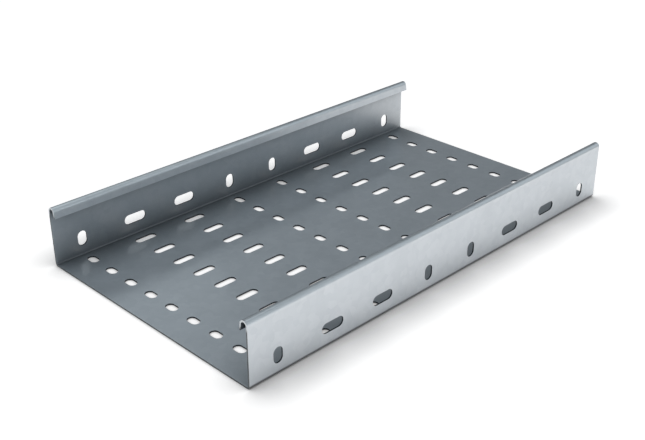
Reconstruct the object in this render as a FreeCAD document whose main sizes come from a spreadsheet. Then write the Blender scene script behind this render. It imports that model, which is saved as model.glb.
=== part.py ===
import FreeCAD, Part
import math
import os

import Sketcher
from FreeCAD import Vector

# Return flange cable tray: one sheet of galvanised steel, punched with slots and folded.
# The flat base carries the cables, a wall rises from each long edge, and the top of each
# wall is rolled over inwards into a round return flange with a short hanging leg, which
# leans a little away from the wall.
#
# Frame: origin at the centre of the underside, X across the tray, Y along its run, Z up.
# Lengths are in millimetres, the lean is in degrees.

# Driving sizes: name, value and what it is
DRIVING_SIZES = [
    ("tray_length", 400.0, "length of the piece along its run"),
    ("inside_width", 225.0, "clear width between the two walls"),
    ("tray_height", 51.0, "underside to the top of the return flanges"),
    ("sheet_thickness", 1.2, "gauge of the sheet"),
    ("base_bend_radius", 1.5, "inside radius of the bend between base and wall"),
    ("flange_bend_radius", 2.3, "inside radius of the rolled return"),
    ("flange_lean", 10.0, "degrees by which the hanging leg leans away from the wall"),
    ("flange_drop", 8.4, "top of the tray to the lowest point of the hanging leg"),
    ("column_pitch", 25.0, "spacing of the slot columns across the base"),
    ("station_pitch", 50.0, "spacing of the slot rows along the run"),
    ("base_slot_width", 7.2, "width of every slot in the base"),
    ("base_cross_slot_length", 11.2, "end to end, slots that lie across the run"),
    ("base_run_slot_length", 19.2, "end to end, slots that lie along the run"),
    ("wall_slot_width", 8.2, "width of every slot in the walls"),
    ("wall_upright_slot_length", 12.4, "end to end, slots that stand upright"),
    ("wall_run_slot_length", 20.4, "end to end, slots that lie along the run"),
    ("wall_slot_height", 15.2, "underside to the middle of a wall slot"),
]

# The rows of slots repeat in fours: short, long, long, short
ROWS_IN_REPEAT = 4
LONG_ROWS = (1, 2)

doc = FreeCAD.newDocument("return_flange_cable_tray")
sheet = doc.addObject("Spreadsheet::Sheet", "sizes")
for row, (alias, value, meaning) in enumerate(DRIVING_SIZES, start=1):
    sheet.set(f"A{row}", meaning)
    sheet.set(f"B{row}", str(value))
    sheet.setAlias(f"B{row}", alias)
doc.recompute()


def size(alias):
    """Value of a driving size, in millimetres or degrees."""
    return float(getattr(sheet, alias))


def origin_feature(body, role):
    """The body's own origin plane or axis that has this role."""
    return next(item for item in body.Origin.OriginFeatures if item.Role == role)


def new_sketch(body, name, plane_role):
    """An empty sketch on one of the body's origin planes."""
    sketch = body.newObject("Sketcher::SketchObject", name)
    sketch.AttachmentSupport = (origin_feature(body, plane_role), [""])
    sketch.MapMode = "FlatFace"
    return sketch


def bind(sketch, constraint, name, expression):
    """Adds a dimension to a sketch, names it and ties it to the driving sizes."""
    index = sketch.addConstraint(constraint)
    sketch.renameConstraint(index, name)
    sketch.setExpression(f"Constraints.{name}", expression)


# How a sketch numbers its origin, and the start, end and centre of an edge
ORIGIN = -1
START, END, CENTRE = 1, 2, 3


def arc(centre_x, centre_y, radius, from_degrees, to_degrees):
    """An arc of a circle, drawn anticlockwise between two directions."""
    circle = Part.Circle(Vector(centre_x, centre_y, 0), Vector(0, 0, 1), radius)
    return Part.ArcOfCircle(circle, math.radians(from_degrees), math.radians(to_degrees))


def line(start, end):
    """A straight edge between two points of a sketch."""
    return Part.LineSegment(Vector(*start, 0), Vector(*end, 0))


def draw_half_section(body):
    """Right half of the folded section, from the middle of the base to the hanging leg.

    Two chains run one sheet thickness apart: base, quarter-round bend, wall, rolled
    return and leg. The outer chain and the inner one share the centre of each bend.
    """
    gauge = size("sheet_thickness")
    bend = size("base_bend_radius")
    curl = size("flange_bend_radius")
    wall = size("inside_width") / 2 + gauge
    bend_x = wall - gauge - bend
    bend_z = gauge + bend
    curl_x = wall - gauge - curl
    curl_z = size("tray_height") - gauge - curl
    leg_z = size("tray_height") - size("flange_drop")
    turn = 180 - size("flange_lean")
    outward = Vector(math.cos(math.radians(turn)), math.sin(math.radians(turn)), 0)
    down = Vector(-outward.y, outward.x, 0)
    centre = Vector(curl_x, curl_z, 0)
    leg_outer_top = centre + outward * (curl + gauge)
    leg_inner_top = centre + outward * curl
    leg_length = (leg_z - leg_inner_top.y) / down.y
    leg_outer_foot = leg_outer_top + down * leg_length
    leg_inner_foot = leg_inner_top + down * leg_length
    sketch = new_sketch(body, "half_section", "XZ_Plane")
    edges = {
        "base_under": line((0, 0), (bend_x, 0)),
        "bend_outer": arc(bend_x, bend_z, bend + gauge, -90, 0),
        "wall_outer": line((wall, bend_z), (wall, curl_z)),
        "curl_outer": arc(curl_x, curl_z, curl + gauge, 0, turn),
        "leg_outer": Part.LineSegment(leg_outer_top, leg_outer_foot),
        "leg_edge": Part.LineSegment(leg_outer_foot, leg_inner_foot),
        "leg_inner": Part.LineSegment(leg_inner_foot, leg_inner_top),
        "curl_inner": arc(curl_x, curl_z, curl, 0, turn),
        "wall_inner": line((wall - gauge, curl_z), (wall - gauge, bend_z)),
        "bend_inner": arc(bend_x, bend_z, bend, -90, 0),
        "base_upper": line((bend_x, gauge), (0, gauge)),
        "middle": line((0, gauge), (0, 0)),
    }
    edge = {name: sketch.addGeometry(shape, False) for name, shape in edges.items()}

    smooth_joins = [
        ("base_under", END, "bend_outer", START),
        ("bend_outer", END, "wall_outer", START),
        ("wall_outer", END, "curl_outer", START),
        ("curl_outer", END, "leg_outer", START),
        ("leg_inner", END, "curl_inner", END),
        ("curl_inner", START, "wall_inner", START),
        ("wall_inner", END, "bend_inner", END),
        ("bend_inner", START, "base_upper", START),
    ]
    for first, first_end, second, second_end in smooth_joins:
        join = Sketcher.Constraint("Tangent", edge[first], first_end, edge[second], second_end)
        sketch.addConstraint(join)
    corners = [
        ("leg_outer", END, "leg_edge", START),
        ("leg_edge", END, "leg_inner", START),
        ("base_upper", END, "middle", START),
        ("middle", END, "base_under", START),
        ("bend_inner", CENTRE, "bend_outer", CENTRE),
        ("curl_inner", CENTRE, "curl_outer", CENTRE),
    ]
    for first, first_end, second, second_end in corners:
        corner = Sketcher.Constraint("Coincident", edge[first], first_end, edge[second], second_end)
        sketch.addConstraint(corner)
    sketch.addConstraint(Sketcher.Constraint("Horizontal", edge["base_under"]))
    for name in ("wall_outer", "middle"):
        sketch.addConstraint(Sketcher.Constraint("Vertical", edge[name]))
    sketch.addConstraint(Sketcher.Constraint("Perpendicular", edge["leg_outer"], edge["leg_edge"]))
    sketch.addConstraint(Sketcher.Constraint("Parallel", edge["leg_outer"], edge["leg_inner"]))
    sketch.addConstraint(Sketcher.Constraint("Coincident", edge["base_under"], START, ORIGIN, START))

    radii = [
        ("bend_inner", bend, "sizes.base_bend_radius"),
        ("bend_outer", bend + gauge, "sizes.base_bend_radius + sizes.sheet_thickness"),
        ("curl_inner", curl, "sizes.flange_bend_radius"),
        ("curl_outer", curl + gauge, "sizes.flange_bend_radius + sizes.sheet_thickness"),
    ]
    for name, radius, expression in radii:
        bind(sketch, Sketcher.Constraint("Radius", edge[name], radius), f"{name}_radius", expression)
    bind(sketch, Sketcher.Constraint("DistanceX", ORIGIN, START, edge["wall_outer"], START, wall),
         "half_width", "sizes.inside_width / 2 + sizes.sheet_thickness")
    bind(sketch, Sketcher.Constraint("DistanceY", ORIGIN, START, edge["curl_outer"], CENTRE, curl_z),
         "curl_height", "sizes.tray_height - sizes.sheet_thickness - sizes.flange_bend_radius")
    bind(sketch, Sketcher.Constraint("DistanceY", edge["curl_outer"], CENTRE, edge["leg_outer"], START,
                                     leg_outer_top.y - curl_z),
         "leg_turn", "(sizes.flange_bend_radius + sizes.sheet_thickness) * sin(sizes.flange_lean * 1 deg)")
    bind(sketch, Sketcher.Constraint("DistanceY", ORIGIN, START, edge["leg_inner"], START, leg_z),
         "leg_height", "sizes.tray_height - sizes.flange_drop")
    return sketch


def add_slot(sketch, name, centre, centre_expressions, length_alias, width_alias, upright):
    """One round-ended slot: two half circles joined by two straight sides.

    It is as long as length_alias says, end to end, along the sketch's first axis, or along
    its second axis where it stands upright.
    """
    radius = size(width_alias) / 2
    reach = size(length_alias) / 2 - radius
    x, y = centre
    if upright:
        shapes = [
            arc(x, y + reach, radius, 0, 180),
            line((x - radius, y + reach), (x - radius, y - reach)),
            arc(x, y - reach, radius, 180, 360),
            line((x + radius, y - reach), (x + radius, y + reach)),
        ]
        straight, along, across = "Vertical", "DistanceY", "DistanceX"
        along_expression, across_expression = reversed(centre_expressions)
        along_value, across_value = y, x
    else:
        shapes = [
            arc(x + reach, y, radius, -90, 90),
            line((x + reach, y + radius), (x - reach, y + radius)),
            arc(x - reach, y, radius, 90, 270),
            line((x - reach, y - radius), (x + reach, y - radius)),
        ]
        straight, along, across = "Horizontal", "DistanceX", "DistanceY"
        along_expression, across_expression = centre_expressions
        along_value, across_value = x, y
    far_end, side, near_end, other_side = (sketch.addGeometry(shape, False) for shape in shapes)
    loop = [far_end, side, near_end, other_side, far_end]
    for first, second in zip(loop, loop[1:]):
        sketch.addConstraint(Sketcher.Constraint("Tangent", first, END, second, START))
    sketch.addConstraint(Sketcher.Constraint(straight, side))
    sketch.addConstraint(Sketcher.Constraint("Equal", far_end, near_end))
    half_reach = f"(sizes.{length_alias} - sizes.{width_alias}) / 2"
    bind(sketch, Sketcher.Constraint("Radius", far_end, radius),
         f"{name}_radius", f"sizes.{width_alias} / 2")
    bind(sketch, Sketcher.Constraint(across, ORIGIN, START, far_end, CENTRE, across_value),
         f"{name}_across", across_expression)
    bind(sketch, Sketcher.Constraint(along, ORIGIN, START, far_end, CENTRE, along_value + reach),
         f"{name}_far", f"{along_expression} + {half_reach}")
    bind(sketch, Sketcher.Constraint(along, ORIGIN, START, near_end, CENTRE, along_value - reach),
         f"{name}_near", f"{along_expression} - {half_reach}")


# Whole rows of slots that fit the length, and whole columns that fit the base
row_count = math.floor(size("tray_length") / size("station_pitch"))
column_count = math.floor(size("inside_width") / size("column_pitch"))
rows = range(row_count)
long_rows = [row for row in rows if row % ROWS_IN_REPEAT in LONG_ROWS]
short_rows = [row for row in rows if row not in long_rows]


def steps_from_middle(index, count):
    """How many pitches a row or column lies from the middle of the tray."""
    return index - (count - 1) / 2


def draw_base_slots(body, name, chosen_rows, length_alias, upright):
    """The first column of slots in the base, one slot in each chosen row."""
    sketch = new_sketch(body, name, "XY_Plane")
    column = steps_from_middle(0, column_count)
    for row in chosen_rows:
        step = steps_from_middle(row, row_count)
        add_slot(sketch, f"row{row + 1}",
                 (column * size("column_pitch"), step * size("station_pitch")),
                 (f"{column} * sizes.column_pitch", f"{step} * sizes.station_pitch"),
                 length_alias, "base_slot_width", upright)
    return sketch


def draw_wall_slots(body, name, chosen_rows, length_alias, upright):
    """The slots of a side wall, seen from the side, one slot in each chosen row."""
    sketch = new_sketch(body, name, "YZ_Plane")
    for row in chosen_rows:
        step = steps_from_middle(row, row_count)
        add_slot(sketch, f"row{row + 1}",
                 (step * size("station_pitch"), size("wall_slot_height")),
                 (f"{step} * sizes.station_pitch", "sizes.wall_slot_height"),
                 length_alias, "wall_slot_width", upright)
    return sketch


def must_be_lighter(body, before, name):
    """Stops where a cut took nothing away."""
    doc.recompute()
    if body.Shape.Volume >= before:
        raise RuntimeError(f"{name} cut nothing")


# The folded sheet
tray = doc.addObject("PartDesign::Body", "cable_tray")
tray.Label = "cable_tray"

half_section = draw_half_section(tray)
half_sheet = tray.newObject("PartDesign::Pad", "half_sheet")
half_sheet.Profile = half_section
half_sheet.SideType = "Symmetric"
half_sheet.setExpression("Length", "sizes.tray_length")
half_section.Visibility = False
doc.recompute()

whole_sheet = tray.newObject("PartDesign::Mirrored", "whole_sheet")
whole_sheet.Originals = [half_sheet]
whole_sheet.MirrorPlane = (origin_feature(tray, "YZ_Plane"), [""])
whole_sheet.Refine = True
tray.Tip = whole_sheet
doc.recompute()

# Slots in the base: one column is punched, then repeated across the width
base_slot_sets = [
    ("base_cross_slots", short_rows, "base_cross_slot_length", False),
    ("base_run_slots", long_rows, "base_run_slot_length", True),
]
for name, chosen_rows, length_alias, upright in base_slot_sets:
    before = tray.Shape.Volume
    column_sketch = draw_base_slots(tray, f"{name}_outline", chosen_rows, length_alias, upright)
    doc.recompute()
    column = tray.newObject("PartDesign::Pocket", f"{name}_column")
    column.Profile = column_sketch
    column.SideType = "Symmetric"
    column.setExpression("Length", "4 * sizes.sheet_thickness")
    doc.recompute()
    pattern = tray.newObject("PartDesign::LinearPattern", name)
    pattern.Originals = [column]
    pattern.Direction = (origin_feature(tray, "X_Axis"), [""])
    pattern.Mode = "Spacing"
    pattern.Occurrences = column_count
    pattern.setExpression("Offset", "sizes.column_pitch")
    pattern.Refine = True
    tray.Tip = pattern
    must_be_lighter(tray, before, name)

# Slots in the walls: each cut runs across the tray, through both walls below the flanges
wall_slot_sets = [
    ("wall_upright_slots", short_rows, "wall_upright_slot_length", True),
    ("wall_run_slots", long_rows, "wall_run_slot_length", False),
]
for name, chosen_rows, length_alias, upright in wall_slot_sets:
    before = tray.Shape.Volume
    wall_sketch = draw_wall_slots(tray, f"{name}_outline", chosen_rows, length_alias, upright)
    doc.recompute()
    wall_cut = tray.newObject("PartDesign::Pocket", name)
    wall_cut.Profile = wall_sketch
    wall_cut.SideType = "Symmetric"
    wall_cut.setExpression("Length", "sizes.inside_width + 4 * sizes.sheet_thickness")
    wall_cut.Refine = True
    tray.Tip = wall_cut
    must_be_lighter(tray, before, name)

# Every object must have been made, and the sheet must be one sound solid
failed = [item.Name for item in doc.Objects if {"Invalid", "Error"} & set(item.State)]
if failed:
    raise RuntimeError(f"failed: {failed}")
shape = tray.Shape
if shape.isNull() or not shape.isValid() or len(shape.Solids) != 1:
    raise RuntimeError("the tray isn't one sound solid")

os.makedirs("parts", exist_ok=True)
shape.exportStep(f"parts/{tray.Label}.step")
box = shape.BoundBox
print(f"{tray.Label}: {box.XLength:.3f} x {box.YLength:.3f} x {box.ZLength:.3f} mm")
print(f"volume {shape.Volume:.1f} mm3, faces {len(shape.Faces)}, rows {row_count}, columns {column_count}")
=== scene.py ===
"""Return flange cable tray: pre-galvanised sheet steel on a plain white studio floor.

The tray is one folded and punched sheet, so the construction gives its whole shape. This
script gives it the finish of the zinc-coated sheet and sets up the floor, light and camera.
"""

import math

import bpy
from mathutils import Matrix, Vector

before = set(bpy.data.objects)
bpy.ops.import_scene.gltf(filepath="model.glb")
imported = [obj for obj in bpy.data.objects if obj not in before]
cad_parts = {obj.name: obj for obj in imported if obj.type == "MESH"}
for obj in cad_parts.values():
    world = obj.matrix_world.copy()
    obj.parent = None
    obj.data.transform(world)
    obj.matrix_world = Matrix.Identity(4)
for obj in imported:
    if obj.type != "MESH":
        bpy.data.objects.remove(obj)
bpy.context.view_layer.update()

MM = 0.001


def linear(hex_colour):
    """An sRGB hex colour as linear red, green, blue and an alpha of 1."""
    channels = [int(hex_colour[i:i + 2], 16) / 255 for i in (1, 3, 5)]
    curve = [c / 12.92 if c <= 0.04045 else ((c + 0.055) / 1.055) ** 2.4 for c in channels]
    return (*curve, 1.0)


# Sizes of the folded sheet, which tell the cut faces from the rolled ones
BASE_TOP = 1.25 * MM           # just over the sheet's thickness
BASE_HALF_WIDTH = 111.0 * MM   # the flat of the base, between its two bends
WALL_FOOT = 5.4 * MM           # above the bend at the wall's foot
LEG_FOOT = 42.85 * MM          # top of the cut edge along the return flange
HALF_LENGTH = 200.0 * MM
TRAY_TOP = 51.0 * MM
SQUARE_ON = 0.5                # a normal's share along an axis, past which a face looks that way

# Bends at the foot of the walls: where the painted shade on them starts and is full, by height,
# and how gently it starts at the edge of the flat base
BEND_START = 3.2 * MM
BEND_FULL = 2.2 * MM
BEND_BLUR = 0.4 * MM

# How the zinc coat looks: sizes of its patterns, then its roughness and sheen
CLOUD_SIZE = 25 * MM
CRYSTAL_SIZE = 5 * MM
ROLLING_WIDTH = 1.2 * MM
ROLLING_SQUEEZE = 0.03         # along the run, so that a rolling line is 40 mm long
ROLLING_HEIGHT = 0.05 * MM
ROLLING_RELIEF = 0.04
SATIN_ROUGHNESS = (0.36, 0.45)
STREAK_ROUGHNESS = 0.04
COAT_SHEEN = 0.65

# How it wears, and painted shade: reach and strength of the shade painted in the folds and on the
# bends, depth and size of the rubbed places
FOLD_SHADE_REACH = 50 * MM
FOLD_SHADE_POWER = 1.4
BEND_SHADE_STRENGTH = 0.8
CROWN_DEPTH = 5.0 * MM
END_DEPTH = 2.0 * MM
END_RUBBING = 0.3
RUBBED_PATCH = 18 * MM
RUBBED_SMOOTHER = 0.12
CUT_ROUGHER = 0.2
HOOK_HIGHLIGHT_FADE = 3.0 * MM           # over this height a flange's cut end turns from painted shade to a painted highlight

# The floor: its size, its own glow, and how far out and how deeply the tray shades that glow
FLOOR_HALF_WIDTH = 12.0
FLOOR_GLOW = 0.60
SHADOW_REACH = 38 * MM
SHADOW_DEPTH = 3.0

# The camera looks down on the tray from beyond its near corner, as the photograph does
IMAGE_WIDTH = 645
SENSOR_WIDTH = 36.0
FOCAL_IN_PIXELS = 1034.5
FRAME_CENTRE_X = 333.5         # the pixel column that the camera's axis meets
CAMERA_PLACE = Vector((528.88, -543.70, 397.26)) * MM
CAMERA_AZIMUTH = math.radians(44.726)
CAMERA_ELEVATION = math.radians(27.153)
CAMERA_ROLL = math.radians(0.1192)

# Softboxes: name, azimuth, elevation, width and height in degrees as the tray sees them,
# and radiance. Azimuth 0 is +Y and 90 is -X. All stand at the same distance.
LAMP_DISTANCE = 3.0
SOFTBOXES = [
    ("overhead_softbox", 130, 80, 70, 70, 0.86),
    ("key_softbox", 180, 44, 80, 22, 0.70),
    ("low_fill", 260, 7, 70, 14, 1.85),
    ("side_panel", 324, 30, 64, 44, 0.62),
    ("back_panel", 48, 27, 60, 14, 0.26),
    ("back_highlight", 77, 35, 40, 12, 0.44),
]
LAMP_COLOUR = linear("#EEF9FF")[:3]
WORLD_COLOUR = linear("#EDF3FA")
WORLD_LIGHT = 0.11

# A colour Mix node holds sockets of every type, so its colour ones go by number
MIX_FACTOR, MIX_FIRST, MIX_SECOND, MIX_RESULT = 0, 6, 7, 2


def add_node(tree, kind, inputs=(), **settings):
    """Adds one shader node with its settings and gives its outputs. Each input is either a
    value or the output of another node, which is then linked to it."""
    node = tree.nodes.new("ShaderNode" + kind)
    for name, value in settings.items():
        setattr(node, name, value)
    for name, value in dict(inputs).items():
        if isinstance(value, bpy.types.NodeSocket):
            tree.links.new(value, node.inputs[name])
        else:
            node.inputs[name].default_value = value
    return node.outputs


def new_material(name):
    """An empty node material and its tree."""
    material = bpy.data.materials.new(name)
    material.use_nodes = True
    material.node_tree.nodes.clear()
    return material, material.node_tree


def object_place(tree):
    """The point's x, y and z on the tray."""
    return add_node(tree, "SeparateXYZ", {0: add_node(tree, "TexCoord")["Object"]})


def cut_edge_mask(tree):
    """1 on the faces left by punching and shearing, 0 on the rolled faces of the sheet.

    A cut face looks along the run anywhere, sideways in the base, and up or down in a wall.
    """
    x, _, z = object_place(tree)
    across = add_node(tree, "Math", {0: x}, operation="ABSOLUTE")[0]
    facing = add_node(tree, "SeparateXYZ", {0: add_node(tree, "NewGeometry")["Normal"]})
    side, run, rise = [add_node(tree, "Math", {0: way}, operation="ABSOLUTE")[0] for way in facing]
    cut_faces = [
        [(run, "GREATER_THAN", SQUARE_ON)],
        [(z, "LESS_THAN", BASE_TOP), (across, "LESS_THAN", BASE_HALF_WIDTH),
         (side, "GREATER_THAN", SQUARE_ON)],
        [(z, "GREATER_THAN", WALL_FOOT), (z, "LESS_THAN", LEG_FOOT),
         (rise, "GREATER_THAN", SQUARE_ON)],
    ]
    mask = 0.0
    for tests in cut_faces:
        all_passed = 1.0
        for value, comparison, limit in tests:
            passed = add_node(tree, "Math", {0: value, 1: limit}, operation=comparison)[0]
            all_passed = add_node(tree, "Math", {0: all_passed, 1: passed}, operation="MULTIPLY")[0]
        mask = add_node(tree, "Math", {0: mask, 1: all_passed}, operation="MAXIMUM")[0]
    return mask


def bend_shade_mask(tree):
    """1 on the tight bends between the base and the walls, where shade is painted, 0 elsewhere."""
    x, _, z = object_place(tree)
    across = add_node(tree, "Math", {0: x}, operation="ABSOLUTE")[0]
    low = add_node(tree, "MapRange", {"Value": z, "From Min": BEND_START, "From Max": BEND_FULL})
    outward = add_node(tree, "MapRange", {"Value": across,
                                          "From Min": BASE_HALF_WIDTH - BEND_BLUR,
                                          "From Max": BASE_HALF_WIDTH + BEND_BLUR})
    return add_node(tree, "Math", {0: low[0], 1: outward[0]}, operation="MULTIPLY")[0]


def rubbed_mask(tree):
    """Rises to 1 where handling and stacking rub a tray: along the crown of each return
    flange and in the last 2 mm before each sheared end. It comes and goes along the edge."""
    _, y, z = object_place(tree)
    along = add_node(tree, "Math", {0: y}, operation="ABSOLUTE")[0]
    crown = add_node(tree, "MapRange", {"Value": z, "From Min": TRAY_TOP - CROWN_DEPTH,
                                        "From Max": TRAY_TOP})["Result"]
    end = add_node(tree, "MapRange", {"Value": along, "From Min": HALF_LENGTH - END_DEPTH,
                                      "From Max": HALF_LENGTH, "To Max": END_RUBBING})["Result"]
    edges = add_node(tree, "Math", {0: crown, 1: end}, operation="MAXIMUM")[0]
    patches = add_node(tree, "TexNoise", {"Vector": add_node(tree, "TexCoord")["Object"],
                                          "Scale": 1 / RUBBED_PATCH, "Detail": 2.0})[0]
    return add_node(tree, "Math", {0: edges, 1: patches}, operation="MULTIPLY")[0]


def galvanised_steel():
    """Pre-galvanised sheet steel: a satin zinc coat, dipped before the sheet was cut and
    folded. It gives the eye a cool light grey with a soft sheen, faint cloudy patches and
    fine lines along the run from rolling. Punched and sheared faces are bare dull steel,
    painted dark as shade, with a painted highlight on the cut ends of the return flanges.
    Shade is painted into the folds and onto the bends at the foot of the walls."""
    material, tree = new_material("galvanised_steel")
    position = add_node(tree, "TexCoord")["Object"]

    # Clouds about 25 mm across, where the coat cooled a little faster or slower
    clouds = add_node(tree, "TexNoise", {"Vector": position, "Scale": 1 / CLOUD_SIZE,
                                         "Detail": 3.0, "Roughness": 0.55})[0]
    # Minimised spangle: zinc crystals of about 5 mm that hardly differ in tone
    crystals = add_node(tree, "TexVoronoi", {"Vector": position,
                                             "Scale": 1 / CRYSTAL_SIZE})["Color"]
    # Rolling lines are about 0.1 mm wide. They are drawn 1.2 mm wide and faint, because
    # finer ones would not show. The Mapping draws them out along the run.
    drawn_out = add_node(tree, "Mapping", {"Vector": position,
                                           "Scale": (1.0, ROLLING_SQUEEZE, 1.0)})[0]
    rolling = add_node(tree, "TexNoise", {"Vector": drawn_out, "Scale": 1 / ROLLING_WIDTH,
                                          "Detail": 2.0, "Roughness": 0.6})[0]

    tone = add_node(tree, "Mix", {MIX_FACTOR: clouds, MIX_FIRST: linear("#C6CBCF"),
                                  MIX_SECOND: linear("#D4D8DC")}, data_type="RGBA")[MIX_RESULT]
    fleck = add_node(tree, "Mix", {MIX_FACTOR: crystals, MIX_FIRST: linear("#F5F6F7"),
                                   MIX_SECOND: linear("#FFFFFF")}, data_type="RGBA")[MIX_RESULT]
    coat = add_node(tree, "Mix", {MIX_FACTOR: 1.0, MIX_FIRST: tone, MIX_SECOND: fleck},
                    data_type="RGBA", blend_type="MULTIPLY")[MIX_RESULT]
    # Painted shade: the colour darkens towards dark grey in the folds, the more shut in a place is,
    # and on the bends at the foot of the walls. The coat's sheen goes there as well
    open_air = add_node(tree, "AmbientOcclusion", {"Distance": FOLD_SHADE_REACH},
                        samples=16, only_local=True)["AO"]
    unshaded = add_node(tree, "Math", {0: open_air, 1: FOLD_SHADE_POWER}, operation="POWER")[0]
    painted_fold_shade = add_node(tree, "Math", {0: 1.0, 1: unshaded}, operation="SUBTRACT")[0]
    painted_bend_shade = add_node(tree, "Math", {0: bend_shade_mask(tree), 1: BEND_SHADE_STRENGTH},
                         operation="MULTIPLY")[0]
    painted_shade = add_node(tree, "Math", {0: painted_fold_shade, 1: painted_bend_shade}, operation="MAXIMUM")[0]
    shaded_coat = add_node(tree, "Mix", {MIX_FACTOR: painted_shade, MIX_FIRST: coat,
                                    MIX_SECOND: linear("#3E4144")}, data_type="RGBA")[MIX_RESULT]
    # A cut face is bare steel: rougher and without the coat's sheen, and painted dark as shade. On
    # the cut ends of the return flanges its colour turns bright, a painted highlight
    is_cut = cut_edge_mask(tree)
    height = object_place(tree)[2]
    hook_highlight = add_node(tree, "MapRange", {"Value": height, "From Min": LEG_FOOT,
                                       "From Max": LEG_FOOT + HOOK_HIGHLIGHT_FADE})["Result"]
    cut_shade_and_highlight = add_node(tree, "Mix", {MIX_FACTOR: hook_highlight, MIX_FIRST: linear("#3A3E42"),
                                       MIX_SECOND: linear("#D0D4D6")}, data_type="RGBA")[MIX_RESULT]
    cut = add_node(tree, "Mix", {MIX_FACTOR: is_cut, MIX_FIRST: shaded_coat,
                                 MIX_SECOND: cut_shade_and_highlight}, data_type="RGBA")[MIX_RESULT]
    rubbed = rubbed_mask(tree)
    colour = add_node(tree, "Mix", {MIX_FACTOR: rubbed, MIX_FIRST: cut,
                                    MIX_SECOND: linear("#DCE0E2")}, data_type="RGBA")[MIX_RESULT]

    satin = add_node(tree, "MapRange", {"Value": clouds, "To Min": SATIN_ROUGHNESS[0],
                                        "To Max": SATIN_ROUGHNESS[1]})["Result"]
    streaks = add_node(tree, "MapRange", {"Value": rolling, "To Min": -STREAK_ROUGHNESS,
                                          "To Max": STREAK_ROUGHNESS})["Result"]
    streaked = add_node(tree, "Math", {0: satin, 1: streaks}, operation="ADD")[0]
    polish = add_node(tree, "Math", {0: rubbed, 1: RUBBED_SMOOTHER}, operation="MULTIPLY")[0]
    smoothed = add_node(tree, "Math", {0: streaked, 1: polish}, operation="SUBTRACT")[0]
    torn = add_node(tree, "Math", {0: is_cut, 1: CUT_ROUGHER}, operation="MULTIPLY")[0]
    roughness = add_node(tree, "Math", {0: smoothed, 1: torn}, operation="ADD")[0]
    sheen_lost = add_node(tree, "Math", {0: painted_shade, 1: is_cut}, operation="MAXIMUM")[0]
    sheen = add_node(tree, "MapRange", {"Value": sheen_lost, "To Min": COAT_SHEEN,
                                        "To Max": 0.0})["Result"]
    ripple = add_node(tree, "Bump", {"Height": rolling, "Strength": ROLLING_RELIEF,
                                     "Distance": ROLLING_HEIGHT})[0]

    # Nearly all metal: the little that isn't stands for the zinc's dull oxide
    shader = add_node(tree, "BsdfPrincipled", {
        "Base Color": colour, "Roughness": roughness, "Normal": ripple,
        "Metallic": 0.93, "Coat Weight": sheen, "Coat Roughness": 0.10})
    add_node(tree, "OutputMaterial", {"Surface": shader[0]})
    return material


def studio_floor():
    """Matt studio paper, a warm white that comes out plain white under the cool lamps. Its
    glow, seen by the camera and in reflections, lifts it to the white of the backdrop. The
    glow fades where the tray shuts off the sky, so that the shadow stays, and grows to full
    white out past the softboxes, where it is the backdrop itself."""
    material, tree = new_material("studio_floor")
    paint = add_node(tree, "BsdfDiffuse", {"Color": linear("#F6EDE8")})[0]
    rays = add_node(tree, "LightPath")
    seen = rays["Is Camera Ray"]
    for kind in ("Is Glossy Ray", "Is Transmission Ray"):
        seen = add_node(tree, "Math", {0: seen, 1: rays[kind]}, operation="MAXIMUM")[0]
    sky = add_node(tree, "AmbientOcclusion", {"Distance": SHADOW_REACH}, samples=16)["AO"]
    faded = add_node(tree, "Math", {0: sky, 1: SHADOW_DEPTH}, operation="POWER")[0]
    outward = add_node(tree, "VectorMath", {0: add_node(tree, "TexCoord")["Object"]},
                       operation="LENGTH")["Value"]
    glow_here = add_node(tree, "MapRange", {"Value": outward, "From Min": 0.5 * LAMP_DISTANCE,
                                            "From Max": LAMP_DISTANCE, "To Min": FLOOR_GLOW,
                                            "To Max": 1.0})["Result"]
    level = add_node(tree, "Math", {0: faded, 1: glow_here}, operation="MULTIPLY")[0]
    strength = add_node(tree, "Math", {0: seen, 1: level}, operation="MULTIPLY")[0]
    glow = add_node(tree, "Emission", {"Color": linear("#FFFFFF"), "Strength": strength})[0]
    both = add_node(tree, "AddShader", {0: paint, 1: glow})[0]
    add_node(tree, "OutputMaterial", {"Surface": both})
    return material


def make_floor():
    """A level square of studio paper, far wider than the view."""
    half = FLOOR_HALF_WIDTH
    mesh = bpy.data.meshes.new("floor")
    mesh.from_pydata([(-half, -half, 0), (half, -half, 0), (half, half, 0), (-half, half, 0)],
                     [], [(0, 1, 2, 3)])
    mesh.materials.append(studio_floor())
    floor = bpy.data.objects.new("floor", mesh)
    bpy.context.scene.collection.objects.link(floor)


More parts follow.
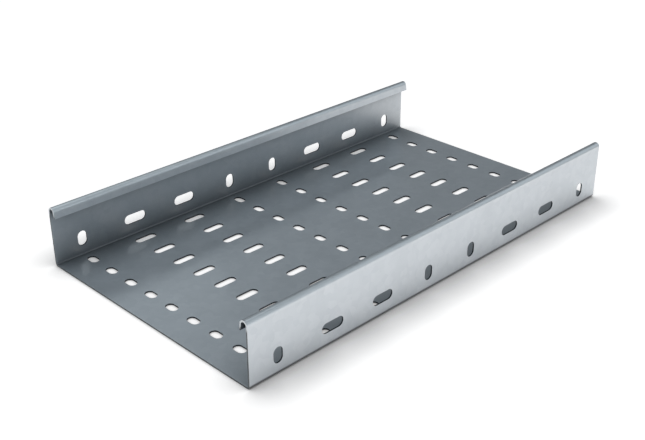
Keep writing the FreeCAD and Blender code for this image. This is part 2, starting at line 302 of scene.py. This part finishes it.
def make_camera():
    """The camera, placed by azimuth and elevation and shifted to the photograph's centre."""
    data = bpy.data.cameras.new("camera")
    data.sensor_width = SENSOR_WIDTH
    data.lens = FOCAL_IN_PIXELS / IMAGE_WIDTH * SENSOR_WIDTH
    data.shift_x = (IMAGE_WIDTH / 2 - FRAME_CENTRE_X) / IMAGE_WIDTH
    camera = bpy.data.objects.new("camera", data)
    turn = (Matrix.Rotation(CAMERA_AZIMUTH, 4, "Z")
            @ Matrix.Rotation(math.pi / 2 - CAMERA_ELEVATION, 4, "X")
            @ Matrix.Rotation(CAMERA_ROLL, 4, "Z"))
    camera.matrix_world = Matrix.Translation(CAMERA_PLACE) @ turn
    bpy.context.scene.collection.objects.link(camera)
    bpy.context.scene.camera = camera


def make_softbox(name, azimuth, elevation, width, height, radiance):
    """A rectangular softbox aimed at the tray from one direction. Its power is pi times its
    area times its radiance. The camera doesn't see it, from any side."""
    data = bpy.data.lights.new(name, "AREA")
    data.shape = "RECTANGLE"
    data.size = 2 * LAMP_DISTANCE * math.tan(math.radians(width / 2))
    data.size_y = 2 * LAMP_DISTANCE * math.tan(math.radians(height / 2))
    data.energy = math.pi * data.size * data.size_y * radiance
    data.color = LAMP_COLOUR
    lamp = bpy.data.objects.new(name, data)
    turn, rise = math.radians(azimuth), math.radians(elevation)
    toward = Vector((-math.sin(turn) * math.cos(rise), math.cos(turn) * math.cos(rise),
                     math.sin(rise)))
    lamp.location = toward * LAMP_DISTANCE
    lamp.rotation_euler = toward.to_track_quat("Z", "Y").to_euler()
    lamp.visible_camera = False
    bpy.context.scene.collection.objects.link(lamp)


def make_world():
    """Faint even light from the studio's walls and ceiling."""
    world = bpy.data.worlds.new("studio")
    world.use_nodes = True
    background = world.node_tree.nodes["Background"]
    background.inputs["Color"].default_value = WORLD_COLOUR
    background.inputs["Strength"].default_value = WORLD_LIGHT
    bpy.context.scene.world = world


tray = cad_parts["cable_tray"]
steel = galvanised_steel()
for place in tray.material_slots:
    place.material = steel
make_floor()
make_camera()
for softbox in SOFTBOXES:
    make_softbox(*softbox)
make_world()
bpy.context.scene.view_settings.view_transform = "Standard"
